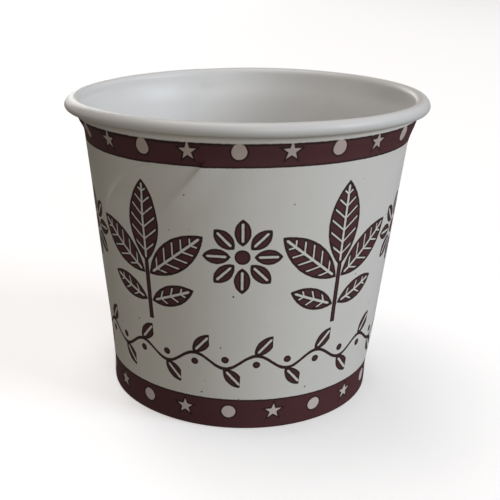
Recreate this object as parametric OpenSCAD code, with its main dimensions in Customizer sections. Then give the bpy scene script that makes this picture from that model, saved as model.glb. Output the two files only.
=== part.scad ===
// Single-wall paper cup for hot tea: a rolled cone of lined board with a curled rim,
// and a flanged board floor that the cone's folded foot holds. Millimetres, +Z up,
// origin at the centre of the ring that the cup stands on.

/* [Cup] */
// Diameter over the outside of the rim roll
mouth_d = 65; // [58:0.5:80]
// Diameter of the wall's outer face where it meets the table
base_d = 48; // [42:0.5:54]
// Height from the table to the top of the rim roll
cup_h = 55; // [45:0.5:90]

/* [Board and lining] */
// Thickness of the sidewall's board
wall_t = 0.25; // [0.2:0.01:0.4]
// Thickness of the floor's board
floor_t = 0.25; // [0.2:0.01:0.4]
// Thickness of the plastic lining on the wet side of both boards
lining_t = 0.03; // [0.03:0.005:0.05]

/* [Rim] */
// Outside diameter of the rim roll
roll_d = 2.9; // [2.4:0.1:4]
// How far the board turns in the rim roll, in degrees
roll_turn = 420; // [300:10:450]
// Gap between the turns of the rim roll
roll_gap = 0.06; // [0.03:0.01:0.15]

/* [Base] */
// Height of the floor's upper face above the table
floor_h = 6.5; // [4.5:0.1:9]
// Radius of the bend between the floor and its skirt
floor_bend_r = 0.8; // [0.5:0.1:1.5]
// Gap between the hem's cut edge and the floor's bend
hem_gap = 0.6; // [0.3:0.1:1.5]
// Gap between the skirt's cut edge and the fold under it
skirt_gap = 0.3; // [0.1:0.1:1]
// Inside radius of the two creases at the foot
crease_r = 0.08; // [0.06:0.01:0.12]

/* [Side seam] */
// Width of the lap, over which the wall's outer end eases out to cover its inner end
lap_w = 14; // [8:1:20]
// Height of the step where the lap's easing begins
lap_start = 0.02; // [0.01:0.01:0.05]
// Gap between the lap's upper end and the rim roll above it
lap_gap = 0.2; // [0.1:0.1:1]
// Direction of the lap's free edge, in degrees from +X towards +Y
seam_at = 122; // [0:1:359]

/* [Hidden] */
$fn = 96;
base_r = base_d / 2;

// Angle between the points of a curl or a crease
roll_step = 10;
crease_step = 15;

// The rim roll's centre, and its radius to the face between board and lining
roll_c = [mouth_d / 2 - roll_d / 2, cup_h - roll_d / 2];
roll_r = roll_d / 2 - lining_t;
// The roll closes in from its outermost point on, so that a full turn clears the layer outside it
roll_free = 180;
roll_pitch = wall_t + lining_t + roll_gap;

// The wall's outer face runs up from the foot's edge on the table, tangent to the inside of the roll
to_roll = roll_c - [base_r, 0];
wall_a = atan2(to_roll.y, to_roll.x) + asin((roll_r - wall_t) / norm(to_roll));

// Radius of the curl, to the face between board and lining, once it has turned so far
function curl_r(turned) = roll_r - roll_pitch * max(0, turned - roll_free) / (360 - roll_free);
// The lap ends under the roll's lowest point
lap_top = roll_c.y - curl_r(wall_a + 180) - lining_t - lap_gap;

// The foot holds the floor's skirt between the wall and the hem, with three layers of lining
seam_stack = floor_t + 3 * lining_t;
foot_z = wall_t + crease_r;
hem_top = floor_h - lining_t - floor_bend_r - hem_gap;
skirt_end = wall_t + lining_t + skirt_gap;

// A sheet's section is a list of [point, direction of its board], along the face between board and lining.
// board_side gives the direction that lies to the right of travel at an angle.
function board_side(angle) = [sin(angle), -cos(angle)];

// The point of the wall's outer face, moved inwards by a depth, that lies at a height
function under_wall(depth, z) = [base_r + (z * cos(wall_a) - depth) / sin(wall_a), z];

// A crease to the left, from one angle of travel to another
function crease(centre, from, to) =
    let (steps = ceil((to - from) / crease_step))
    [for (i = [0:steps]) let (d = board_side(from + (to - from) * i / steps)) [centre + crease_r * d, d]];

// The rim's curl, which turns right round the roll's centre
function curl() =
    let (steps = ceil(roll_turn / roll_step))
    [for (i = [0:steps])
        let (turned = roll_turn * i / steps,
             a = wall_a + 90 - turned,
             out = [cos(a), sin(a)])
        [roll_c + curl_r(turned) * out, -out]];

// The sidewall from the hem's cut edge, down, under the foot, up the wall and into the roll
function sidewall_section() =
    let (outer = under_wall(wall_t + crease_r, foot_z),
         inner = under_wall(wall_t + seam_stack - crease_r, foot_z))
    concat(
        [[under_wall(wall_t + seam_stack, hem_top), board_side(wall_a + 180)]],
        crease(inner, wall_a + 180, 360),
        crease(outer, 0, wall_a),
        curl());

// The floor from the axis, out to its bend and down its skirt
function floor_section() =
    let (depth = wall_t + 2 * lining_t,
         top = floor_h - lining_t,
         centre = under_wall(depth + floor_bend_r, top - floor_bend_r),
         steps = ceil((180 - wall_a) / crease_step),
         bend = [for (i = [0:steps]) let (d = board_side((wall_a - 180) * i / steps))
                 [centre - floor_bend_r * d, d]])
    concat(
        [[[0, top], board_side(0)]],
        bend,
        [[under_wall(depth, skirt_end), board_side(wall_a - 180)]]);

// A layer of a sheet, between two distances from the face between board and lining
module layer(section, near, far) {
    last = len(section) - 1;
    rotate_extrude()
        polygon(concat(
            [for (s = section) s[0] + near * s[1]],
            [for (i = [last:-1:0]) section[i][0] + far * section[i][1]]));
}

// The wall's outer end, which eases out over the inner end up to its free edge.
// Its face is turned about an axis set off towards that edge, and its inside is cut back to mid-board.
module seam_lap() {
    low = under_wall(0, foot_z);
    high = under_wall(0, lap_top);
    inside = base_r / 2;
    edge_r = high.x + wall_t;
    start_r = high.x + lap_start;
    ease = lap_w / high.x * 180 / PI;
    rise = (edge_r ^ 2 - start_r ^ 2) / (2 * (1 - cos(ease)));
    set_off = (edge_r - sqrt(edge_r ^ 2 - 4 * rise)) / 2;
    proud = [wall_t - set_off, 0];
    rotate(seam_at)
    difference() {
        translate([set_off, 0, 0]) rotate(-ease) rotate_extrude(angle = ease)
            polygon([[inside, low.y], low + proud, high + proud, [inside, high.y]]);
        rotate_extrude()
            polygon([[0, 0], under_wall(wall_t / 2, 0), under_wall(wall_t / 2, cup_h), [0, cup_h]]);
    }
}

module sidewall() {
    color("whitesmoke") union() {
        layer(sidewall_section(), 0, wall_t);
        seam_lap();
    }
}

module sidewall_lining() {
    color("white") layer(sidewall_section(), -lining_t, 0);
}

module bottom_disc() {
    color("whitesmoke") layer(floor_section(), 0, floor_t);
}

module bottom_lining() {
    color("white") layer(floor_section(), -lining_t, 0);
}

sidewall();
sidewall_lining();
bottom_disc();
bottom_lining();
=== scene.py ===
# %% [markdown]
# # A printed paper cup
# A paper cup is made from two pieces of board that were coated with plastic film before they were cut. A
# fan-shaped blank is wrapped into a cone and sealed along a lap. A disc with a turned-down skirt is set
# into the cone's foot, the foot is folded over that skirt, and the rim is rolled outwards. This lesson
# builds the cup in the same order: each sheet is drawn as a line, wrapped round the axis, and only then
# given its thickness.

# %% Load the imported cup
import math

import bmesh
import bpy
from mathutils import Matrix, Vector


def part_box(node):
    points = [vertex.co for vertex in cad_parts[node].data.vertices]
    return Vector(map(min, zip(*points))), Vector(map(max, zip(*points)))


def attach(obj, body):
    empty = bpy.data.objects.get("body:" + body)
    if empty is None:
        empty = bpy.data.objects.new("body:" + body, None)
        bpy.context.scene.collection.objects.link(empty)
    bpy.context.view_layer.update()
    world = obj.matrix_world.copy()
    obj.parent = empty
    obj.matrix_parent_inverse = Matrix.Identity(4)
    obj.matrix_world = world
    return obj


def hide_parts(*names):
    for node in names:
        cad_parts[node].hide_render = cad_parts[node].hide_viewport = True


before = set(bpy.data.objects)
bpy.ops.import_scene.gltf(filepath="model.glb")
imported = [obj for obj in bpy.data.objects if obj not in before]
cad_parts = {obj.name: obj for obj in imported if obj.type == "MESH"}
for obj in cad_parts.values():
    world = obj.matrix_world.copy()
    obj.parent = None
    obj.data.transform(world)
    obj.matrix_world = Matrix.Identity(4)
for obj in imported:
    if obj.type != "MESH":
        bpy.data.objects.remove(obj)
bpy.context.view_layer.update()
print("nodes to replace:", sorted(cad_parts))

# %% [markdown]
# ## Sizes
# Everything is drawn in millimetres and scaled to metres when a piece is finished, because a cup's board is
# a quarter of a millimetre thick and such numbers are easier to read. The mouth and the height come from
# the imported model. The rest are the sizes that the construction was drawn with, apart from the roll. The
# construction's plain roll fills the whole room at the rim. Here that room holds a smaller roll and a
# gentle flare under it, as on the cup itself.

# %% Sizes in millimetres
METRES = 0.001
lining_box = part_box("sidewall_lining")
MOUTH_R = lining_box[1][0] / METRES
CUP_H = lining_box[1][2] / METRES
BASE_R = 24.0
BOARD_T = 0.25
LINING_T = 0.03
RIM_ROOM = 2.9
ROLL_D = 2.45
FLOOR_H = 6.5
print(f"mouth {2 * MOUTH_R:.2f} mm, base {2 * BASE_R:.2f} mm, height {CUP_H:.2f} mm")

# %% [markdown]
# ## The sheet's section
# Seen in section, the sidewall is one line. It starts at the cut edge of the hem, runs down and under the
# foot, climbs the wall, steps out in a gentle flare and ends inside the rim roll. The line follows the face
# between the board and its film, so both layers grow from it and touch all over. It could be a curve object
# with a bevel, but a chain of extruded and spun vertices keeps every crease exact. The wall's slope is
# worked out from the room at the rim, and the flare brings the wall to the roll without a kink.

# %% The wall's slope and the places along it
ROLL_R = ROLL_D / 2 - LINING_T
ROLL_C = Vector((MOUTH_R - ROLL_D / 2, 0, CUP_H - ROLL_D / 2))
ROLL_BOTTOM = ROLL_C.z - ROLL_R
to_rim = Vector((MOUTH_R - RIM_ROOM / 2 - BASE_R, 0, CUP_H - RIM_ROOM / 2))
WALL_A = math.atan2(to_rim.z, to_rim.x) + math.asin((RIM_ROOM / 2 - LINING_T - BOARD_T) / to_rim.length)


def wall_point(depth, height):
    """The point of the section that lies so deep under the wall's printed face, at a height."""
    return Vector((BASE_R + (height * math.cos(WALL_A) - depth) / math.sin(WALL_A), 0, height))


def board_side(angle):
    """The direction to the right of a line that is drawn at an angle: the side that the board is on."""
    return Vector((math.sin(angle), 0, -math.cos(angle)))


print(f"the wall leans out by {90 - math.degrees(WALL_A):.2f} degrees")

# %% Two strokes of the drawing: a straight one and a bend
def draw_to(sheet, tip, place, rows=1):
    """Extrudes the tip of a drawn line to a place, in equal steps."""
    step = (Vector(place) - tip.co) / rows
    for _ in range(rows):
        tip = bmesh.ops.extrude_vert_indiv(sheet, verts=[tip])["verts"][0]
        tip.co += step
    return tip


def draw_bend(sheet, tip, centre, angle, steps):
    """Turns the tip of a drawn line round a centre, to the right where the angle is positive."""
    made = bmesh.ops.spin(sheet, geom=[tip], cent=centre, axis=(0, 1, 0), angle=angle, steps=steps)
    return made["geom_last"][0]


trial = bmesh.new()
trial_tip = draw_to(trial, trial.verts.new((0, 0, 0)), (10, 0, 0))
trial_tip = draw_bend(trial, trial_tip, (10, 0, -5), math.pi / 2, 6)
print("a trial line along +X with a bend to the right ends at", [round(value, 2) for value in trial_tip.co])
trial.free()

# %% Draw the sidewall
CREASE_R = 0.08
CREASE_STEPS = 6
FOOT_Z = BOARD_T + CREASE_R
HEM_DEPTH = 2 * BOARD_T + 3 * LINING_T
HEM_TOP = 5.07
HEM_ROWS = 4
WALL_ROWS = 60
FLARE_FROM = 48.5
FLARE_R = 13.0
FLARE_STEPS = 5
RISE_ROWS = 2
ROLL_STEP = math.radians(10)
ROLL_STEPS = 42
FREE_STEPS = 18
ROLL_GAP = 0.06
ROLL_CLOSING = (BOARD_T + LINING_T + ROLL_GAP) / FREE_STEPS


def draw_sidewall():
    """Draws the sidewall's section from the hem's cut edge to the end of the roll."""
    sheet = bmesh.new()
    inner_fold = wall_point(HEM_DEPTH - CREASE_R, FOOT_Z)
    outer_fold = wall_point(BOARD_T + CREASE_R, FOOT_Z)
    tip = sheet.verts.new(wall_point(HEM_DEPTH, HEM_TOP))
    tip = draw_to(sheet, tip, inner_fold + CREASE_R * board_side(WALL_A + math.pi), rows=HEM_ROWS)
    tip = draw_bend(sheet, tip, inner_fold, WALL_A - math.pi, CREASE_STEPS)
    tip = draw_to(sheet, tip, outer_fold + CREASE_R * board_side(0))
    tip = draw_bend(sheet, tip, outer_fold, -WALL_A, CREASE_STEPS)
    tip = draw_to(sheet, tip, wall_point(BOARD_T, FLARE_FROM), rows=WALL_ROWS)
    roll_start = ROLL_C - ROLL_R * board_side(WALL_A)
    step_out = (roll_start - tip.co).dot(board_side(WALL_A))
    flare = math.acos(1 - step_out / (2 * FLARE_R))
    tip = draw_bend(sheet, tip, tip.co + FLARE_R * board_side(WALL_A), flare, FLARE_STEPS)
    tip = draw_bend(sheet, tip, tip.co - FLARE_R * board_side(WALL_A - flare), -flare, FLARE_STEPS)
    tip = draw_to(sheet, tip, roll_start, rows=RISE_ROWS)
    for step in range(ROLL_STEPS):
        tip = draw_bend(sheet, tip, ROLL_C, ROLL_STEP, 1)
        inwards = (ROLL_C - tip.co).normalized()
        tip.co += inwards * (ROLL_CLOSING if step >= FREE_STEPS else 0)
    return sheet


section = draw_sidewall()
print("points along the section:", len(section.verts))
print(f"length of the sheet from hem to roll: {sum(edge.calc_length() for edge in section.edges):.1f} mm")
section.free()

# %% [markdown]
# ## Wrapping the sheet
# A real blank is wrapped until its two ends overlap, and the outer end climbs over the inner one by the
# thickness of the board. One full spin with merged ends would lose that lap. So the line is spun in two
# goes: most of the turn first, then the last stretch, whose points are lifted until they lie over the first
# ones. A layer on the vertices keeps how far round the sheet each point is, which later tells the print
# where it belongs.

# %% Wrap a drawn sheet round the axis
SEAM_AT = 122.0
LAP = 13.5
EASE = 18.0
TURN_STEP = 1.5
ROLL_LIFT = 0.06
FOOT_LIFT = 0.02
LIFT_FROM = 1.0
LIFT_RISE = 3.0
LIFT_FALL = 2.5
WALL_SLACK = 0.1
TOUCH = 0.001


def smooth(value):
    """Rises smoothly from 0 to 1."""
    value = min(max(value, 0), 1)
    return value * value * (3 - 2 * value)


def climb(height, start, reach):
    """Rises smoothly from 0 at a height to 1 at the end of its reach above it."""
    return smooth((height - start) / reach)


def spin_sheet(sheet, line, degrees):
    """Spins a line round the cup's axis and gives its last place."""
    made = bmesh.ops.spin(sheet, geom=line, cent=(0, 0, 0), axis=(0, 0, 1), angle=math.radians(degrees),
                          steps=round(degrees / TURN_STEP))
    return made["geom_last"]


def azimuth(place):
    """Degrees round the axis from +X towards +Y."""
    return math.degrees(math.atan2(place.y, place.x))


def lift_over(place, amount):
    """Moves a point of the outer end out over the inner end: fully on the wall, hardly at roll and foot."""
    out = Vector((place.x, place.y, 0)).normalized()
    roll_centre = out * ROLL_C.x + Vector((0, 0, ROLL_C.z))
    inwards = roll_centre - place
    if inwards.length < ROLL_R + TOUCH:
        return place + inwards.normalized() * ROLL_LIFT * amount
    on_wall = place.dot(out) > wall_point(BOARD_T, place.z).x - WALL_SLACK
    fade = climb(place.z, LIFT_FROM, LIFT_RISE) * smooth((ROLL_BOTTOM - place.z) / LIFT_FALL)
    return place + out * amount * (FOOT_LIFT + (BOARD_T + LINING_T - FOOT_LIFT) * fade * on_wall)


def wrap(sheet):
    """Wraps a drawn line into a cone with a lapped seam."""
    turned = sheet.verts.layers.float.new("turned")
    first = 360 - EASE
    last_line = spin_sheet(sheet, sheet.verts[:] + sheet.edges[:], first)
    for vert in sheet.verts:
        vert[turned] = (azimuth(vert.co) + 1) % 360 - 1
    inner = set(sheet.verts)
    spin_sheet(sheet, last_line, EASE + LAP)
    for vert in set(sheet.verts) - inner:
        past = (azimuth(vert.co) - first) % 360
        vert[turned] = first + past
        vert.co = lift_over(vert.co, smooth(past / EASE))
    bmesh.ops.rotate(sheet, verts=sheet.verts, matrix=Matrix.Rotation(math.radians(SEAM_AT - LAP), 3, "Z"))
    return sheet


trial = wrap(draw_sidewall())
print("points on the wrapped sheet:", len(trial.verts))
trial.free()

# %% [markdown]
# ## Thickness
# Solidify grows a sheet against its normals. The wrapped sheet's faces point to the film, so the board
# grows outwards as it is, and the film grows from the same sheet turned over. A Solidify modifier would do
# the same, but the operator hands back the faces that it made, and the print has to know which side it is
# on.

# %% Give a sheet its thickness
def thicken(sheet, thickness):
    """Grows a sheet on its board's side, and gives the new faces there."""
    made = bmesh.ops.solidify(sheet, geom=sheet.faces[:], thickness=thickness)
    return {item for item in made["geom"] if isinstance(item, bmesh.types.BMFace)}


trial = bmesh.new()
bmesh.ops.create_grid(trial, x_segments=1, y_segments=1, size=5)
grown = [round(face.calc_center_median().z, 2) for face in thicken(trial, BOARD_T)]
print("a trial sheet that faces up grows to", grown)
trial.free()

# %% [markdown]
# ## A dent from a thumb
# Thin board keeps the mark of every squeeze. This cup has one dent under the rim on its left: a sharp
# curved crease, and a slope that rises from it to a soft brow. It could be sculpted, but a function of a
# point's place on the wall can bend the board and the film alike, so they stay together. The crease is
# finer than the sheet's rows, so the faces round it are cut smaller first.

# %% Where the wall is dented
DENT_CENTRE = Vector((-9.8, 28.3))
DENT_R = 20.4
DENT_DEPTH = 0.5
DENT_LIP = 0.8
DENT_LEFT = -30.0
DENT_LOW = 36.0
DENT_LOW_FADE = 6.0
DENT_HIGH = 50.0
DENT_HIGH_FADE = 3.0
BROW_LINE = (Vector((-7.2, 47.6)), Vector((-12.6, 40.6)))
BROW_SWELL = 0.35
BROW_W = 4.0


def wall_spot(place):
    """Where a point lies on the wall: millimetres round from the front, and millimetres up from the table."""
    return Vector((math.atan2(place.x, -place.y) * math.hypot(place.x, place.y), place.z))


def past_brow(spot):
    """How far a spot lies to the right of the dent's brow, seen from outside the cup."""
    along = (BROW_LINE[1] - BROW_LINE[0]).normalized()
    return (spot - BROW_LINE[0]).dot(Vector((-along.y, along.x)))


def dent(spot):
    """How far out the dent moves a spot: in behind its curved crease, and from there out to its brow."""
    past_crease = DENT_R - (spot - DENT_CENTRE).length
    beyond = past_brow(spot)
    if beyond > 0:
        out = BROW_SWELL * smooth(1 - beyond / BROW_W)
    elif past_crease < 0:
        out = -DENT_DEPTH * smooth(1 + past_crease / DENT_LIP)
    else:
        across = past_crease / (past_crease - beyond + TOUCH)
        out = (DENT_DEPTH + BROW_SWELL) * across ** 2 - DENT_DEPTH
    return out * climb(spot.y, DENT_LOW, DENT_LOW_FADE) * smooth((DENT_HIGH - spot.y) / DENT_HIGH_FADE)


crease_spot = Vector((-20.9, 45.2))
brow_spot = Vector((-9, 45.3))
print(f"depth at the crease {-dent(crease_spot):.2f} mm, height of the brow {dent(brow_spot):.2f} mm")

# %% Cut the faces smaller round the dent
DENT_CUT_TOP = ROLL_BOTTOM - 0.5


def cut_finer(sheet):
    """Cuts the faces round the dent into ninths."""
    edges = []
    for edge in sheet.edges:
        spots = [wall_spot(vert.co) for vert in edge.verts]
        if all(DENT_LEFT < spot.x < 0 and DENT_LOW < spot.y < DENT_CUT_TOP for spot in spots):
            edges.append(edge)
    bmesh.ops.subdivide_edges(sheet, edges=edges, cuts=2, use_grid_fill=True)
    return len(edges)


trial = wrap(draw_sidewall())
print("edges cut round the dent:", cut_finer(trial))
trial.free()

# %% [markdown]
# ## The rest of the handling
# A cup of thin board is never quite round once it has been picked up. This one is pushed in a little on the
# left and leans out under its roll on both sides. Its rim stands a little higher at the front and sags at
# the back left. Its foot spreads at the sides and stands slightly off the rim's centre. The hem inside the
# foot carries fine ribs from the wheel that pressed it. All of it is one more function of a point's place.

# %% Bend a point as a used cup is bent
# How far the board is bent, in millimetres
PUSHED_IN = 0.33
RIM_RISE = 0.21
RIM_TILT = 0.16
RIM_SADDLE = 0.1
FLARE_RIGHT = 0.65
FLARE_LEFT = 0.8
FOOT_SPREAD = 0.4
RIM_WAVE = 0.05
SLUMP = 0.5
RIM_SAG = 0.4
SKEW = 0.35
# Where it is bent: a bearing to the right of the front and the width to either side of it, in degrees
PUSHED_AT = (-90, 75)
FLARE_RIGHT_AT = (95, 60)
FLARE_LEFT_AT = (-95, 60)
SPREAD_RIGHT_AT = (90, 60)
SPREAD_LEFT_AT = (-90, 60)
SLUMP_AT = (-50, 70)
SAG_AT = (-115, 90)
# How high up it begins and how far it reaches from there, in millimetres
PUSHED_UP = (15, 40)
RIM_UP = (51, 2)
SAG_UP = (51, 4)
SLUMP_UP = (40, 7)
SLUMP_END = (51, 1.6)
SPREAD_END = (0, 5)
SKEW_END = (0, 14)
# The middle of each flare and its reach to either side, in millimetres
FLARE_RIGHT_UP = (51, 4)
FLARE_LEFT_UP = (52.3, 2.5)
RIB_DEPTH = 0.03
RIB_STEP = 3.0
RIB_ROOM = 2.0
HEM_SLACK = 0.1


def hump(value, middle, reach):
    """A smooth hump that is 1 in its middle and 0 beyond its reach to either side."""
    return smooth(1 - abs(value - middle) / reach)


def facing(degrees, bearing, width):
    """The same for directions, which start again after a full turn."""
    return hump((degrees - bearing + 180) % 360, 180, width)


def handled(place):
    """Where a point lies once the cup has been picked up."""
    radius = math.hypot(place.x, place.y)
    left = SKEW * (1 - climb(place.z, *SKEW_END))
    if radius < TOUCH:
        return place - Vector((left, 0, 0))
    spot = wall_spot(place)
    front = spot.x / radius
    degrees = math.degrees(front)
    out = dent(spot)
    out -= PUSHED_IN * facing(degrees, *PUSHED_AT) * climb(place.z, *PUSHED_UP)
    out += FLARE_RIGHT * facing(degrees, *FLARE_RIGHT_AT) * hump(place.z, *FLARE_RIGHT_UP)
    out += FLARE_LEFT * facing(degrees, *FLARE_LEFT_AT) * hump(place.z, *FLARE_LEFT_UP)
    sides = facing(degrees, *SPREAD_RIGHT_AT) + facing(degrees, *SPREAD_LEFT_AT)
    out += FOOT_SPREAD * sides * (1 - climb(place.z, *SPREAD_END))
    wave = (math.sin(7 * front) + math.sin(11 * front + 1) - 1) / 2
    out += RIM_WAVE * wave * climb(place.z, *RIM_UP)
    hem = place.z < HEM_TOP + HEM_SLACK and radius < wall_point(BOARD_T + 3 * LINING_T, place.z).x
    if hem and radius > BASE_R - RIB_ROOM:
        out += RIB_DEPTH * (abs(degrees / RIB_STEP % 1 - 0.5) * 4 - 1)
    down = SLUMP * facing(degrees, *SLUMP_AT) * climb(place.z, *SLUMP_UP) * (1 - climb(place.z, *SLUMP_END))
    down += RIM_SAG * facing(degrees, *SAG_AT) * climb(place.z, *SAG_UP)
    rise = RIM_RISE + RIM_TILT * math.cos(front) + RIM_SADDLE * math.cos(2 * front)
    down -= rise * climb(place.z, *RIM_UP)
    return place + Vector((place.x, place.y, 0)) * (out / radius) - Vector((left, 0, down))


moved = handled(Vector((-MOUTH_R, 0, CUP_H))) - Vector((-MOUTH_R, 0, CUP_H))
print("the rim's left end moves by", [round(value, 2) for value in moved], "mm")

# %% Finish a piece
SHARP_FROM = math.radians(40)


def finish_piece(name, sheet, node, material):
    """Makes an object of a drawn sheet, in metres, and sets it in the place of its CAD node."""
    for vert in sheet.verts:
        vert.co = handled(vert.co) * METRES
    mesh = bpy.data.meshes.new(name)
    sheet.to_mesh(mesh)
    sheet.free()
    mesh.shade_smooth()
    mesh.set_sharp_from_angle(angle=SHARP_FROM)
    mesh.materials.append(material)
    piece = bpy.data.objects.new(name, mesh)
    bpy.context.scene.collection.objects.link(piece)
    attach(piece, "root")
    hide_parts(node)
    print(name, "has", len(mesh.polygons), "faces")


# %% [markdown]
# ## Colours and nodes
# Colours are given in sRGB, as a paint program shows them, and Blender's shaders want them linear.
# Nodes are added by one small function that sets or links their inputs and hands back their outputs, so a
# chain of nodes reads like a chain of sums.

# %% Functions for colours, scales and nodes
def colour(code):
    """Turns an sRGB hex colour to linear."""
    parts = [int(code[place:place + 2], 16) / 255 for place in (1, 3, 5)]
    return [part / 12.92 if part <= 0.04045 else ((part + 0.055) / 1.055) ** 2.4 for part in parts] + [1]


def per_metre(size):
    """How often a pattern of so many millimetres fits into a metre."""
    return 1 / (size * METRES)


def add(material, kind, inputs=(), **settings):
    """Adds a node with its settings, links or sets its inputs, and gives its outputs."""
    tree = material.node_tree
    node = tree.nodes.new(kind)
    for name, value in settings.items():
        setattr(node, name, value)
    for key, value in (inputs.items() if isinstance(inputs, dict) else enumerate(inputs)):
        if isinstance(value, bpy.types.NodeSocket):
            tree.links.new(value, node.inputs[key])
        else:
            node.inputs[key].default_value = value
    return node.outputs


def new_material(name):
    """A material with nothing in it yet."""
    material = bpy.data.materials.new(name)
    material.use_nodes = True
    material.node_tree.nodes.clear()
    return material


print("the board's white in linear light:", [round(part, 3) for part in colour("#f5f4f0")])

# %% [markdown]
# ## The print
# The sheet is printed flat, before it is wrapped, and one dark brown ink makes the whole print: a band near
# the rim and one at the foot, each with a row of dots and stars left bare, and sprigs, rosettes and a
# garland between them. A narrow margin of bare board is left between the upper band and the roll. An image
# texture would do, but it blurs close up. Here every shape is a distance in millimetres from its own edge,
# worked out by a few nodes: below zero there is ink. Distances are easy to join, because the smaller of two
# joins their shapes and the larger keeps what they share. The nodes read the piece's own UV map, which
# holds how far round the sheet and how high up a point is.

# %% The print's own coordinates
printed = new_material("printed cupstock")
sheet_place = add(printed, "ShaderNodeUVMap", uv_map="print")
round_sheet, up_sheet, _ = add(printed, "ShaderNodeSeparateXYZ", [sheet_place[0]])
height = add(printed, "ShaderNodeMath", [up_sheet, CUP_H], operation="MULTIPLY")[0]
radius = add(printed, "ShaderNodeMath", [height, 1 / math.tan(WALL_A), BASE_R], operation="MULTIPLY_ADD")[0]
FRONT_TURN = (SEAM_AT - LAP + 90) / 360 - 1
turns = add(printed, "ShaderNodeMath", [round_sheet, FRONT_TURN], operation="ADD")[0]


def repeat_round(step, first):
    """Cuts the way round into steps of so many degrees: millimetres from a step's middle, and its number."""
    steps = add(printed, "ShaderNodeMath", [turns, 360 / step, -first / step], operation="MULTIPLY_ADD")[0]
    number = add(printed, "ShaderNodeMath", [steps], operation="ROUND")[0]
    part = add(printed, "ShaderNodeMath", [steps, number], operation="SUBTRACT")[0]
    angle = add(printed, "ShaderNodeMath", [part, math.radians(step)], operation="MULTIPLY")[0]
    return add(printed, "ShaderNodeMath", [angle, radius], operation="MULTIPLY")[0], number


print(f"the cup's front is {-FRONT_TURN:.3f} turns round the sheet from its inner end")

# %% [markdown]
# ### Bands with dots and stars
# The symbols in the bands are bare board, so they are cut out of the ink. A dot is a distance from its
# centre. A star has ten straight edges that mirror each other, so the bearing is folded into a tenth of a
# turn, where one edge is left to measure from.

# %% Rows of dots and stars
DOT_R = 1.2
STAR_R = 1.45
STAR_INNER_R = 0.42 * STAR_R
STAR_HALF = math.pi / 5
star_edge = Vector((STAR_INNER_R * math.cos(STAR_HALF) - STAR_R, STAR_INNER_R * math.sin(STAR_HALF)))
STAR_LEAN = math.atan2(-star_edge.x, star_edge.y)


def bare_symbols(step, first, centre):
    """Dots and stars by turns along a row: above zero inside one."""
    across, number = repeat_round(step, first)
    up = add(printed, "ShaderNodeMath", [height, centre], operation="SUBTRACT")[0]
    place = add(printed, "ShaderNodeCombineXYZ", [across, up])[0]
    far = add(printed, "ShaderNodeVectorMath", [place], operation="LENGTH")["Value"]
    dot = add(printed, "ShaderNodeMath", [DOT_R, far], operation="SUBTRACT")[0]
    bearing = add(printed, "ShaderNodeMath", [across, up], operation="ARCTAN2")[0]
    fold = add(printed, "ShaderNodeMath", [bearing, STAR_HALF], operation="PINGPONG")[0]
    lean = add(printed, "ShaderNodeMath", [fold, STAR_LEAN], operation="SUBTRACT")[0]
    slope = add(printed, "ShaderNodeMath", [lean], operation="COSINE")[0]
    reach = add(printed, "ShaderNodeMath", [far, slope], operation="MULTIPLY")[0]
    star = add(printed, "ShaderNodeMath", [STAR_R * math.cos(STAR_LEAN), reach], operation="SUBTRACT")[0]
    odd = add(printed, "ShaderNodeMath", [number, 1], operation="PINGPONG")[0]
    return add(printed, "ShaderNodeMix", {0: odd, 2: dot, 3: star})[0]


print(f"dots {2 * DOT_R} mm across, stars {2 * STAR_R} mm")

# %% The two bands
UPPER_BAND = (48.1, 51.85)
LOWER_BAND = (-1.0, 6.0)
# Degrees from symbol to symbol, degrees of a dot to the right of the front, and the row's height
UPPER_ROW = (15.65, -1.5, 50.7)
LOWER_ROW = (18.4, -4.0, 3.5)


def band(low, high, symbols):
    """A band round the sheet, between two heights, and its ink, with the symbols left bare."""
    over_middle = add(printed, "ShaderNodeMath", [height, (low + high) / 2], operation="SUBTRACT")[0]
    from_middle = add(printed, "ShaderNodeMath", [over_middle], operation="ABSOLUTE")[0]
    strip = add(printed, "ShaderNodeMath", [from_middle, (high - low) / 2], operation="SUBTRACT")[0]
    return strip, add(printed, "ShaderNodeMath", [strip, symbols], operation="MAXIMUM")[0]


upper_strip, upper_band = band(*UPPER_BAND, bare_symbols(*UPPER_ROW))
lower_strip, lower_band = band(*LOWER_BAND, bare_symbols(*LOWER_ROW))
strips = add(printed, "ShaderNodeMath", [upper_strip, lower_strip], operation="MINIMUM")[0]
bands = add(printed, "ShaderNodeMath", [upper_band, lower_band], operation="MINIMUM")[0]
print(f"bands of ink from {UPPER_BAND[0]} to {UPPER_BAND[1]} mm and up to {LOWER_BAND[1]} mm")

# %% [markdown]
# ### Leaves and sprigs
# A pointed leaf is where two equal circles overlap, so its edge is a distance from one circle, mirrored.
# Its midrib and slanting side veins are left bare, as in a woodcut, and stop short of the edge. One such
# function draws every leaf of the print. A sprig is five leaves on a stem, mirrored about the stem.

# %% A leaf with its veins left bare
RIB_W = 0.42
VEIN_W = 0.34
VEIN_STEP = 2.1
VEIN_RISE = 0.8
LEAF_MARGIN = 0.55
NO_VEINS = 20.0


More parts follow.
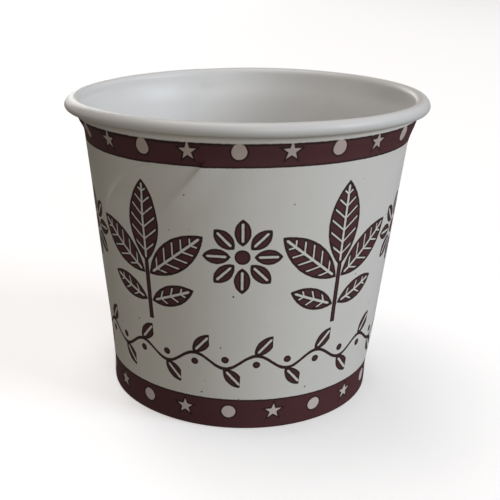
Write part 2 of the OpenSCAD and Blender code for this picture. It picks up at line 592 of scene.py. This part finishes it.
def leaf(place, base, lean, length, width, vein_step=VEIN_STEP):
    """A pointed leaf that grows from a base and leans right by so many degrees: below zero on its ink."""
    seat = {"Vector": place, "Location": (*base, 0), "Rotation": (0, 0, -math.radians(lean))}
    local = add(printed, "ShaderNodeMapping", seat, vector_type="TEXTURE")[0]
    across, along, _ = add(printed, "ShaderNodeSeparateXYZ", [local])
    half = add(printed, "ShaderNodeMath", [across], operation="ABSOLUTE")[0]
    round_r = (length ** 2 + width ** 2) / (4 * width)
    side = add(printed, "ShaderNodeMath", [half, round_r - width / 2], operation="ADD")[0]
    middle = add(printed, "ShaderNodeMath", [along, -length / 2], operation="ADD")[0]
    spot = add(printed, "ShaderNodeCombineXYZ", [side, middle])[0]
    far = add(printed, "ShaderNodeVectorMath", [spot], operation="LENGTH")["Value"]
    blade = add(printed, "ShaderNodeMath", [far, -round_r], operation="ADD")[0]
    climb = add(printed, "ShaderNodeMath", [half, -VEIN_RISE, along], operation="MULTIPLY_ADD")[0]
    from_vein = add(printed, "ShaderNodeMath", [climb, vein_step / 2], operation="PINGPONG")[0]
    vein = add(printed, "ShaderNodeMath", [from_vein, -VEIN_W / 2], operation="ADD")[0]
    rib = add(printed, "ShaderNodeMath", [half, -RIB_W / 2], operation="ADD")[0]
    lines = add(printed, "ShaderNodeMath", [vein, rib], operation="MINIMUM")[0]
    margin = add(printed, "ShaderNodeMath", [blade, LEAF_MARGIN], operation="ADD")[0]
    bare = add(printed, "ShaderNodeMath", [lines, margin], operation="MAXIMUM")[0]
    cut = add(printed, "ShaderNodeMath", [bare, -1], operation="MULTIPLY")[0]
    return add(printed, "ShaderNodeMath", [blade, cut], operation="MAXIMUM")[0]


print(f"veins every {VEIN_STEP} mm, {VEIN_W} mm wide")

# %% Sprigs
SPRIG_STEP = 72.0
SPRIG_FOOT = 20.5
STEM_MIDDLE = 4.5
STEM_HALF_H = 5.5
STEM_HALF_W = 0.45
# The base of each leaf, its lean in degrees, its length and its width
SPRIG_LEAVES = (((0, 9.5), 0, 15.0, 6.4), ((0.5, 7.5), 52, 13.5, 5.4), ((0.5, 2.5), 68, 9.0, 3.8))
across, _ = repeat_round(SPRIG_STEP, SPRIG_STEP / 2)
mirrored = add(printed, "ShaderNodeMath", [across], operation="ABSOLUTE")[0]
up = add(printed, "ShaderNodeMath", [height, -SPRIG_FOOT], operation="ADD")[0]
sprig_place = add(printed, "ShaderNodeCombineXYZ", [mirrored, up])[0]
stem_middle = add(printed, "ShaderNodeMath", [up, -STEM_MIDDLE], operation="ADD")[0]
stem_half = add(printed, "ShaderNodeMath", [stem_middle], operation="ABSOLUTE")[0]
stem_end = add(printed, "ShaderNodeMath", [stem_half, -STEM_HALF_H], operation="ADD")[0]
stem_side = add(printed, "ShaderNodeMath", [mirrored, -STEM_HALF_W], operation="ADD")[0]
sprig = add(printed, "ShaderNodeMath", [stem_end, stem_side], operation="MAXIMUM")[0]
for leaf_sizes in SPRIG_LEAVES:
    sprig = add(printed, "ShaderNodeMath", [sprig, leaf(sprig_place, *leaf_sizes)], operation="MINIMUM")[0]
print("sprigs round the cup:", round(360 / SPRIG_STEP))

# %% [markdown]
# ### Rosettes
# Between the sprigs stands a flower of eight petals. A petal is a small leaf with a bare midrib, and the
# bearing is folded, as for the stars, so that one petal serves for all eight.

# %% A rosette
ROSETTE_AT = 33.0
PETALS = 8
PETAL = ((0, 1.9), 0, 4.7, 2.7)
HEART_R = 1.3
across, _ = repeat_round(SPRIG_STEP, 0)
up = add(printed, "ShaderNodeMath", [height, -ROSETTE_AT], operation="ADD")[0]
place = add(printed, "ShaderNodeCombineXYZ", [across, up])[0]
far = add(printed, "ShaderNodeVectorMath", [place], operation="LENGTH")["Value"]
bearing = add(printed, "ShaderNodeMath", [across, up], operation="ARCTAN2")[0]
fold = add(printed, "ShaderNodeMath", [bearing, math.pi / PETALS], operation="PINGPONG")[0]
fold_sine = add(printed, "ShaderNodeMath", [fold], operation="SINE")[0]
fold_cosine = add(printed, "ShaderNodeMath", [fold], operation="COSINE")[0]
petal_place = add(printed, "ShaderNodeCombineXYZ", [fold_sine, fold_cosine])[0]
petal_scaled = add(printed, "ShaderNodeVectorMath", {0: petal_place, "Scale": far}, operation="SCALE")[0]
petals = leaf(petal_scaled, *PETAL, vein_step=NO_VEINS)
heart = add(printed, "ShaderNodeMath", [far, -HEART_R], operation="ADD")[0]
rosette = add(printed, "ShaderNodeMath", [petals, heart], operation="MINIMUM")[0]
print("petals in a rosette:", PETALS)

# %% [markdown]
# ### A garland
# Under them a thin vine swings round the cup, with a leaf and a berry on every swing, above and below it by
# turns. The swings are steps round the sheet, and every second one is turned upside down.

# %% The vine with its leaves and berries
GARLAND_STEP = 12.0
GARLAND_AT = 13.4
GARLAND_SWING = 1.3
GARLAND_LEAF = ((-0.3, GARLAND_SWING), 42, 5.0, 2.5)
VINE_HALF_W = 0.32
BERRY_R = 0.65
BERRY_AT = (0, GARLAND_SWING - 1.7, 0)
across, number = repeat_round(GARLAND_STEP, GARLAND_STEP / 2)
parity = add(printed, "ShaderNodeMath", [number, 1], operation="PINGPONG")[0]
sign = add(printed, "ShaderNodeMath", [parity, -2, 1], operation="MULTIPLY_ADD")[0]
up = add(printed, "ShaderNodeMath", [height, -GARLAND_AT], operation="ADD")[0]
turned_up = add(printed, "ShaderNodeMath", [up, sign], operation="MULTIPLY")[0]
sway_turn = add(printed, "ShaderNodeMath", [turns, math.tau * 180 / GARLAND_STEP], operation="MULTIPLY")[0]
sway = add(printed, "ShaderNodeMath", [sway_turn], operation="SINE")[0]
off_vine = add(printed, "ShaderNodeMath", [sway, -GARLAND_SWING, up], operation="MULTIPLY_ADD")[0]
vine_half = add(printed, "ShaderNodeMath", [off_vine], operation="ABSOLUTE")[0]
vine = add(printed, "ShaderNodeMath", [vine_half, -VINE_HALF_W], operation="ADD")[0]
leaf_place = add(printed, "ShaderNodeCombineXYZ", [across, turned_up])[0]
garland_leaf = leaf(leaf_place, *GARLAND_LEAF, vein_step=NO_VEINS)
off_berry = add(printed, "ShaderNodeVectorMath", [leaf_place, BERRY_AT], operation="DISTANCE")["Value"]
berry = add(printed, "ShaderNodeMath", [off_berry, -BERRY_R], operation="ADD")[0]
twigs = add(printed, "ShaderNodeMath", [garland_leaf, berry], operation="MINIMUM")[0]
garland = add(printed, "ShaderNodeMath", [vine, twigs], operation="MINIMUM")[0]
print("swings of the vine round the cup:", round(180 / GARLAND_STEP))

# %% [markdown]
# ## Board
# Cupstock is bleached wood pulp that is left uncoated on its outer face. Close up it is slightly cloudy,
# with fibres that catch the light. Two noises make it: a fine one for the fibres, which also roughens the
# surface, and a broad one for the clouds. Both materials of bare board use them.

# %% The fibres and clouds of uncoated board
# A fibre is some hundredths of a millimetre thick, too fine to show, so it is drawn ten times as coarse.
FIBRE_MM = 0.35
FIBRE_SHARE = 0.45
CLOUD_MM = 5.0
TOOTH_MM = 0.03


def board_grain(material, strength):
    """The cloudiness of board, from 0 to 1, and its roughened normal."""
    place = add(material, "ShaderNodeTexCoord")["Object"]
    fibres = add(material, "ShaderNodeTexNoise",
                 {"Vector": place, "Scale": per_metre(FIBRE_MM), "Detail": 4, "Roughness": 0.6})[0]
    clouds = add(material, "ShaderNodeTexNoise",
                 {"Vector": place, "Scale": per_metre(CLOUD_MM), "Detail": 3})[0]
    cloudy = add(material, "ShaderNodeMix", {0: FIBRE_SHARE, 2: clouds, 3: fibres})[0]
    normal = add(material, "ShaderNodeBump",
                 {"Strength": strength, "Distance": TOOTH_MM * METRES, "Height": fibres})[0]
    return cloudy, normal


print(f"fibres drawn {FIBRE_MM} mm wide, clouds {CLOUD_MM} mm")

# %% [markdown]
# ## Ink
# The ink is pressed on by a raised plate. It soaks in a little unevenly, its edge wanders with the fibres,
# it gathers in a darker line just inside every edge, and fine specks of it fall beside the shapes. All of
# that can be read from the one distance that the motifs share: it is made to wobble by a noise, and ramps
# of it give the ink and the line. The small shapes that are left bare in a band never stay quite clean, so
# they get a faint veil of ink, thicker near the rim.

# %% Where the ink lies
SPECK_CELL = 3.0
SPECK_R = 0.15
BLEED_MM = 0.8
EDGE_WOBBLE = 0.07
EDGE_SOFT = 0.06
LINE_OUTER = 0.16
LINE_INNER = 0.40
ink = bands
for motif in (sprig, rosette, garland):
    ink = add(printed, "ShaderNodeMath", [ink, motif], operation="MINIMUM")[0]
on_object = add(printed, "ShaderNodeTexCoord")["Object"]
cells = add(printed, "ShaderNodeTexVoronoi",
            {"Vector": on_object, "Scale": per_metre(SPECK_CELL)})["Distance"]
specks = add(printed, "ShaderNodeMath", [cells, SPECK_CELL, -SPECK_R], operation="MULTIPLY_ADD")[0]
ink = add(printed, "ShaderNodeMath", [ink, specks], operation="MINIMUM")[0]
bleed = add(printed, "ShaderNodeTexNoise",
            {"Vector": on_object, "Scale": per_metre(BLEED_MM), "Detail": 3})[0]
edge = add(printed, "ShaderNodeMath", [bleed, 2 * EDGE_WOBBLE, ink], operation="MULTIPLY_ADD")[0]
inked = add(printed, "ShaderNodeMapRange",
            {"Value": edge, "From Min": EDGE_WOBBLE + EDGE_SOFT, "From Max": EDGE_WOBBLE - EDGE_SOFT})[0]
lined = add(printed, "ShaderNodeMapRange",
            {"Value": edge, "From Min": EDGE_WOBBLE - LINE_INNER, "From Max": EDGE_WOBBLE - LINE_OUTER})[0]
print(f"the ink's edge wanders by {EDGE_WOBBLE} mm")

# %% Colours of the printed board
# Bare board is matt: it gives the eye a soft, slightly cloudy white with no highlight. The ink that soaked
# into it is nearly as matt, a brown with red in it, uneven in its middle and almost black along its edges.
PAPER_LIGHT = colour("#f5f4f0")
PAPER_CLOUD = colour("#e9e7e2")
VEIL_UPPER = colour("#cfbeb8")
VEIL_LOWER = colour("#e4d7d5")
INK_LIGHT = colour("#63383d")
INK_DEEP = colour("#4b282d")
INK_EDGE = colour("#2b1517")
cloudy, grain = board_grain(printed, 0.35)
paper = add(printed, "ShaderNodeMix", {0: cloudy, 6: PAPER_LIGHT, 7: PAPER_CLOUD}, data_type="RGBA")[2]
in_strip = add(printed, "ShaderNodeMapRange", {"Value": strips, "From Min": 0, "From Max": -EDGE_SOFT})[0]
veil = add(printed, "ShaderNodeMix", {0: up_sheet, 6: VEIL_LOWER, 7: VEIL_UPPER}, data_type="RGBA")[2]
bare = add(printed, "ShaderNodeMix", {0: in_strip, 6: paper, 7: veil}, data_type="RGBA")[2]
fill = add(printed, "ShaderNodeMix", {0: cloudy, 6: INK_LIGHT, 7: INK_DEEP}, data_type="RGBA")[2]
ink_tone = add(printed, "ShaderNodeMix", {0: lined, 6: fill, 7: INK_EDGE}, data_type="RGBA")[2]
tone = add(printed, "ShaderNodeMix", {0: inked, 6: bare, 7: ink_tone}, data_type="RGBA")[2]
gloss = add(printed, "ShaderNodeMapRange", {"Value": inked, "To Min": 0.68, "To Max": 0.60})[0]
shader = add(printed, "ShaderNodeBsdfPrincipled",
             {"Base Color": tone, "Roughness": gloss, "IOR": 1.45, "Normal": grain})
add(printed, "ShaderNodeOutputMaterial", [shader[0]])
print("nodes in the print:", len(printed.node_tree.nodes))

# %% [markdown]
# ## Plain board
# The floor is cut from the same board, but it isn't printed. Its bare face shows only from below, a little
# yellower than the printed sheet, which was bleached for show.

# %% Bleached cupstock
# Bare board gives the eye a matt warm white with a fine tooth to it.
BOARD_LIGHT = colour("#e6e3db")
BOARD_CLOUD = colour("#d6d2c8")
plain_board = new_material("bleached cupstock")
cloudy, grain = board_grain(plain_board, 0.5)
paper = add(plain_board, "ShaderNodeMix", {0: cloudy, 6: BOARD_LIGHT, 7: BOARD_CLOUD}, data_type="RGBA")[2]
shader = add(plain_board, "ShaderNodeBsdfPrincipled",
             {"Base Color": paper, "Roughness": 0.7, "IOR": 1.45, "Normal": grain})
add(plain_board, "ShaderNodeOutputMaterial", [shader[0]])
print("nodes in the plain board:", len(plain_board.node_tree.nodes))

# %% [markdown]
# ## Film
# The film is polyethylene, a few hundredths of a millimetre thick, poured on the board and pressed flat by
# a matt roller. It could be a clear coat over the board's colour, but on a real cup one sees little more
# than a white with a satin sheen. So one opaque shader does it: the board's white, a sheen that changes
# slowly from place to place, and the faint ripple that the roller leaves.

# %% Polyethylene film
# The film gives the eye a whiter white than bare board, and soft highlights along the rim and inside.
FILM_LIGHT = colour("#eeeeed")
FILM_CLOUD = colour("#e7e7e5")
RIPPLE_MM = 1.6
RIPPLE_H = 0.02
SHEEN_MM = 7.0
film = new_material("polyethylene film on board")
place = add(film, "ShaderNodeTexCoord")["Object"]
ripple = add(film, "ShaderNodeTexNoise", {"Vector": place, "Scale": per_metre(RIPPLE_MM), "Detail": 2})[0]
clouds = add(film, "ShaderNodeTexNoise", {"Vector": place, "Scale": per_metre(SHEEN_MM), "Detail": 3})[0]
tone = add(film, "ShaderNodeMix", {0: clouds, 6: FILM_LIGHT, 7: FILM_CLOUD}, data_type="RGBA")[2]
gloss = add(film, "ShaderNodeMapRange", {"Value": clouds, "To Min": 0.36, "To Max": 0.46})[0]
wavy = add(film, "ShaderNodeBump", {"Strength": 0.25, "Distance": RIPPLE_H * METRES, "Height": ripple})[0]
shader = add(film, "ShaderNodeBsdfPrincipled",
             {"Base Color": tone, "Roughness": gloss, "IOR": 1.51, "Normal": wavy})
add(film, "ShaderNodeOutputMaterial", [shader[0]])
print("nodes in the film:", len(film.node_tree.nodes))

# %% [markdown]
# ## Laying the print on the sheet
# Only the wall's outer face is printed, so only its faces get a height on the print's map, and all others a
# height where there is no ink. A second map is for baking the print into an image: it lays the wall out in
# two long rows, so that the print comes out sharp.

# %% Write the two maps
UNPRINTED = -1.0
HALF_TURN = 186.0
ROW_TURN = 188.0
ROW_H = 0.46
FIRST_ROW = 0.53
SECOND_ROW = 0.04
REST_ROW = 0.01
REST_H = 0.015


def lay_print(sheet, board_faces):
    """Maps the wall's outer face by how far round and how high up it is, and the rest to where no ink is."""
    turned = sheet.verts.layers.float["turned"]
    print_map = sheet.loops.layers.uv.new("print")
    bake_map = sheet.loops.layers.uv.new("OFBake")
    printed_faces = 0
    for face in sheet.faces:
        middle = face.calc_center_median()
        outer = math.hypot(middle.x, middle.y) > wall_point(BOARD_T, middle.z).x
        shown = face in board_faces and outer and middle.z < ROLL_BOTTOM
        printed_faces += shown
        second = sum(vert[turned] for vert in face.verts) / len(face.verts) > HALF_TURN
        for loop in face.loops:
            rise = loop.vert.co.z / CUP_H
            way = loop.vert[turned]
            loop[print_map].uv = (way / 360, rise if shown else UNPRINTED)
            if shown:
                row = SECOND_ROW if second else FIRST_ROW
                loop[bake_map].uv = ((way - HALF_TURN * second) / ROW_TURN, row + ROW_H * rise)
            else:
                loop[bake_map].uv = (way / (2 * ROW_TURN), REST_ROW + REST_H * rise)
    print("faces that carry the print:", printed_faces)


# %% [markdown]
# ## The sidewall and its film
# The same drawing is wrapped twice, once for the board and once for the film. The film's sheet is turned
# over before it gets its thickness, so it grows inwards.

# %% Make the sidewall and its film
sidewall = wrap(draw_sidewall())
cut_finer(sidewall)
lay_print(sidewall, thicken(sidewall, BOARD_T))
finish_piece("sidewall_board", sidewall, "sidewall", printed)
sidewall_film = wrap(draw_sidewall())
cut_finer(sidewall_film)
bmesh.ops.reverse_faces(sidewall_film, faces=sidewall_film.faces)
thicken(sidewall_film, LINING_T)
finish_piece("sidewall_film", sidewall_film, "sidewall_lining", film)

# %% [markdown]
# ## The floor
# The floor is a disc of the same board, with a skirt that was pressed down round it. The skirt stands
# between the wall and the hem. It has no lap, so a full spin with merged ends makes it, and the ring of
# points at the axis becomes one.

# %% Draw the floor
FLOOR_BEND_R = 0.8
SKIRT_DEPTH = BOARD_T + 2 * LINING_T
SKIRT_END = 0.58
FLOOR_ROWS = 12
FLOOR_BEND_STEPS = 8
SKIRT_ROWS = 4
FLOOR_STEPS = 192


def turn_floor():
    """Draws the floor's section from the axis to the skirt's cut edge, and turns it round the axis."""
    sheet = bmesh.new()
    top = FLOOR_H - LINING_T
    centre = wall_point(SKIRT_DEPTH + FLOOR_BEND_R, top - FLOOR_BEND_R)
    tip = sheet.verts.new((0, 0, top))
    tip = draw_to(sheet, tip, centre - FLOOR_BEND_R * board_side(0), rows=FLOOR_ROWS)
    tip = draw_bend(sheet, tip, centre, math.pi - WALL_A, FLOOR_BEND_STEPS)
    draw_to(sheet, tip, wall_point(SKIRT_DEPTH, SKIRT_END), rows=SKIRT_ROWS)
    line = sheet.verts[:] + sheet.edges[:]
    bmesh.ops.spin(sheet, geom=line, cent=(0, 0, 0), axis=(0, 0, 1), angle=math.tau, steps=FLOOR_STEPS,
                   use_merge=True)
    bmesh.ops.remove_doubles(sheet, verts=sheet.verts, dist=TOUCH)
    bmesh.ops.recalc_face_normals(sheet, faces=sheet.faces)
    return sheet


# %% Make the floor and its film
bottom = turn_floor()
thicken(bottom, BOARD_T)
finish_piece("bottom_board", bottom, "bottom_disc", plain_board)
bottom_film = turn_floor()
bmesh.ops.reverse_faces(bottom_film, faces=bottom_film.faces)
thicken(bottom_film, LINING_T)
finish_piece("bottom_film", bottom_film, "bottom_lining", film)

# %% [markdown]
# ## The table
# The cup stands on a plain pale table that reaches past the edges of the view and glows faintly, so that
# the ground stays white. Such a table would throw a lot of light up at the rim's underside, more than this
# cup should have. So the cup's bounced and mirrored rays pass the table by, and the room's dim light stands
# in for what a duller table would give.

# %% A pale table
TABLE_R = 4.0
TABLE_GLOW = 0.4
table = bmesh.new()
bmesh.ops.create_circle(table, cap_ends=True, segments=64, radius=TABLE_R)
table_mesh = bpy.data.meshes.new("table")
table.to_mesh(table_mesh)
table.free()
pale_table = new_material("pale table")
shader = add(pale_table, "ShaderNodeBsdfPrincipled",
             {"Base Color": colour("#fcfcfc"), "Roughness": 0.8, "Emission Color": colour("#ffffff"),
              "Emission Strength": TABLE_GLOW})
add(pale_table, "ShaderNodeOutputMaterial", [shader[0]])
table_mesh.materials.append(pale_table)
table_top = bpy.data.objects.new("table", table_mesh)
table_top.visible_diffuse = False
table_top.visible_glossy = False
bpy.context.scene.collection.objects.link(table_top)
print(f"the table is {2 * TABLE_R} m across")

# %% [markdown]
# ## Light
# The cup is lit by a window on the right, from overhead and a little from the front, so its left side falls
# into a soft shade. A weaker light behind the cup serves the views from there. Large soft boxes are used,
# as in a studio, because a small lamp would draw hard lines on the rim. The room adds a dim warm light from
# all round, and the camera sees a pale backdrop in its place.

# %% Soft boxes
def aim(thing, place, target):
    """Puts a light or a camera at a place and turns it to a target, both in millimetres."""
    thing.location = Vector(place) * METRES
    thing.rotation_euler = (Vector(target) - Vector(place)).to_track_quat("-Z", "Y").to_euler()


def soft_light(name, place, size, watts, tint="#ffffff"):
    """A square soft box that shines at the cup."""
    light = bpy.data.lights.new(name, "AREA")
    light.size = size * METRES
    light.energy = watts
    light.color = colour(tint)[:3]
    lamp = bpy.data.objects.new(name, light)
    bpy.context.scene.collection.objects.link(lamp)
    aim(lamp, place, (0, 0, 30))
    print(f"{name}: {watts} W")


soft_light("window", (1800, -702, 786), 828, 18.8, tint="#eaf3ff")
soft_light("overhead", (-360, 180, 1573), 900, 8.8, tint="#fff7f7")
soft_light("front", (486, -1440, 462), 540, 4.4)
soft_light("back", (-607, 1502, 444), 720, 5.5)

# %% The room's dim light and its backdrop
ROOM_TINT = "#fff4e0"
ROOM_LIGHT = 0.135
BACKDROP = 0.8
room = bpy.data.worlds.new("room")
room.use_nodes = True
room.node_tree.nodes.clear()
dim_room = add(room, "ShaderNodeBackground", [colour(ROOM_TINT), ROOM_LIGHT])
backdrop = add(room, "ShaderNodeBackground", [colour("#ffffff"), BACKDROP])
seen = add(room, "ShaderNodeLightPath")["Is Camera Ray"]
shown = add(room, "ShaderNodeMixShader", [seen, dim_room[0], backdrop[0]])
add(room, "ShaderNodeOutputWorld", [shown[0]])
bpy.context.scene.world = room
bpy.context.scene.view_settings.view_transform = "Standard"
print("room light:", ROOM_LIGHT)

# %% [markdown]
# ## Camera
# The view is from a little above the rim and close by, so the mouth opens wide and the wall narrows quickly
# towards the foot. The place and the lens were fitted to the rim, the foot and the two bands. A small shift
# puts the cup left of the middle without turning the camera.

# %% Place the camera
CAMERA_AT = (0, -167.38, 82.05)
CAMERA_TO = (-8.07, 0, 24.7)
CAMERA_ROLL = 0.12
lens = bpy.data.cameras.new("camera")
lens.lens = 66.67
lens.shift_x = 0.099
lens.clip_start = 0.005
camera = bpy.data.objects.new("camera", lens)
bpy.context.scene.collection.objects.link(camera)
aim(camera, CAMERA_AT, CAMERA_TO)
camera.rotation_euler.rotate_axis("Z", math.radians(CAMERA_ROLL))
bpy.context.scene.camera = camera
print(f"camera {Vector(CAMERA_AT).length:.0f} mm from the middle of the foot")
